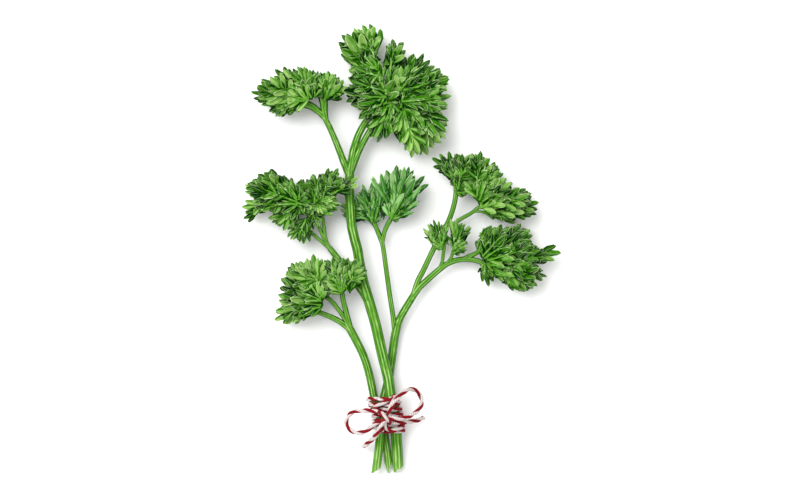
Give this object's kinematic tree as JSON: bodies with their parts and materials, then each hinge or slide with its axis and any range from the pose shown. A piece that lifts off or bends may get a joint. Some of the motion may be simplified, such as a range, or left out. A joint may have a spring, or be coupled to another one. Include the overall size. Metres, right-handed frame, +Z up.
{
  "type": "curly parsley bunch",
  "caption": "Bunch of fresh curly parsley lying on its side, its cut stems wound and tied in a bow with two-colour cotton twine.",
  "frame": {"origin": "on the surface, under the middle of the bunch's box; the two free strands of the bow are not counted", "axes": "+Y along the bunch from the cut ends towards the leaves, +Z up from the surface it lies on"},
  "size_m": [0.1442, 0.1996, 0.0235],
  "materials": {
    "stalk": "moist, slightly glossy green plant stem",
    "leaf": "fresh curled green leaf",
    "twine": "twisted cotton, red and white"
  },
  "bodies": {
    "root": {"stalk_middle": "stalk", "stalk_left": "stalk", "stalk_right": "stalk", "head_crown": "leaf", "head_upper_left": "leaf", "head_mid_left": "leaf", "leaf_low_left": "leaf", "leaf_low_middle": "leaf", "leaf_centre_left": "leaf", "leaf_centre_middle": "leaf", "leaf_centre_right": "leaf", "head_upper_right": "leaf", "head_lower_right": "leaf", "leaf_small_left": "leaf", "leaf_small_right": "leaf", "twine_binding": "twine", "bow_left": "twine", "bow_right": "twine"}
  },
  "joints": []
}
